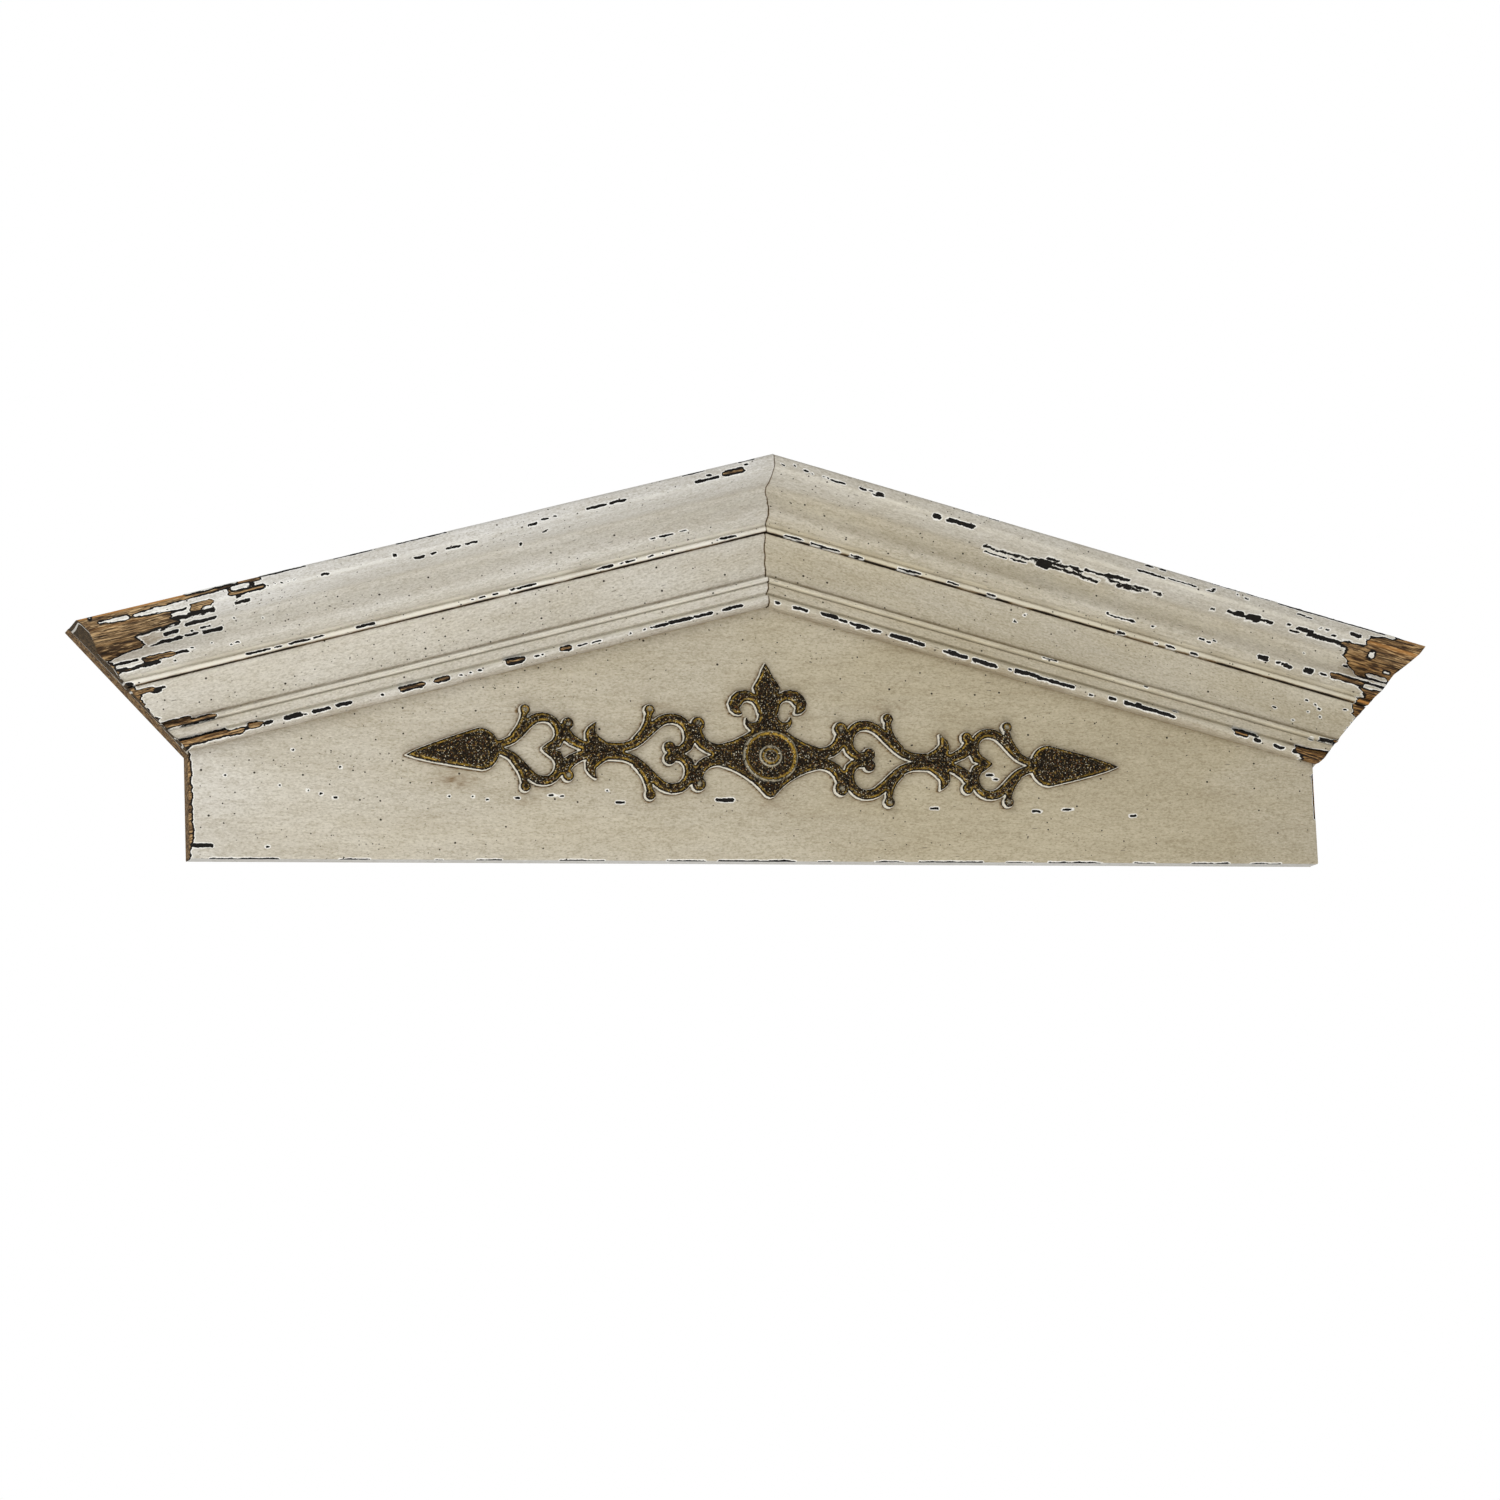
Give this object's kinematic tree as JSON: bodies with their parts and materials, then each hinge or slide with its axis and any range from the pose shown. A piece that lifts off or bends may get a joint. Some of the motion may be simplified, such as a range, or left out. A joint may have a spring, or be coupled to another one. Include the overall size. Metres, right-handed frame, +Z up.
{
  "type": "door pediment",
  "caption": "Gabled wooden door pediment with raking crown and casing mouldings in distressed cream paint and a dark bronze scroll ornament.",
  "frame": {"origin": "on the flat back face, midway between the two hanging holes", "axes": "+X to the right seen from the front, +Y out of the back towards the wall, +Z up to the apex"},
  "size_m": [1.205, 0.063, 0.348],
  "materials": {
    "painted_wood": "satin cream paint, chipped to brown wood",
    "aged_bronze": "dark patina with rubbed gold edges"
  },
  "bodies": {
    "root": {"board": "painted_wood", "crown_left": "painted_wood", "crown_right": "painted_wood", "casing_left": "painted_wood", "casing_right": "painted_wood", "ornament": "aged_bronze"}
  },
  "joints": []
}
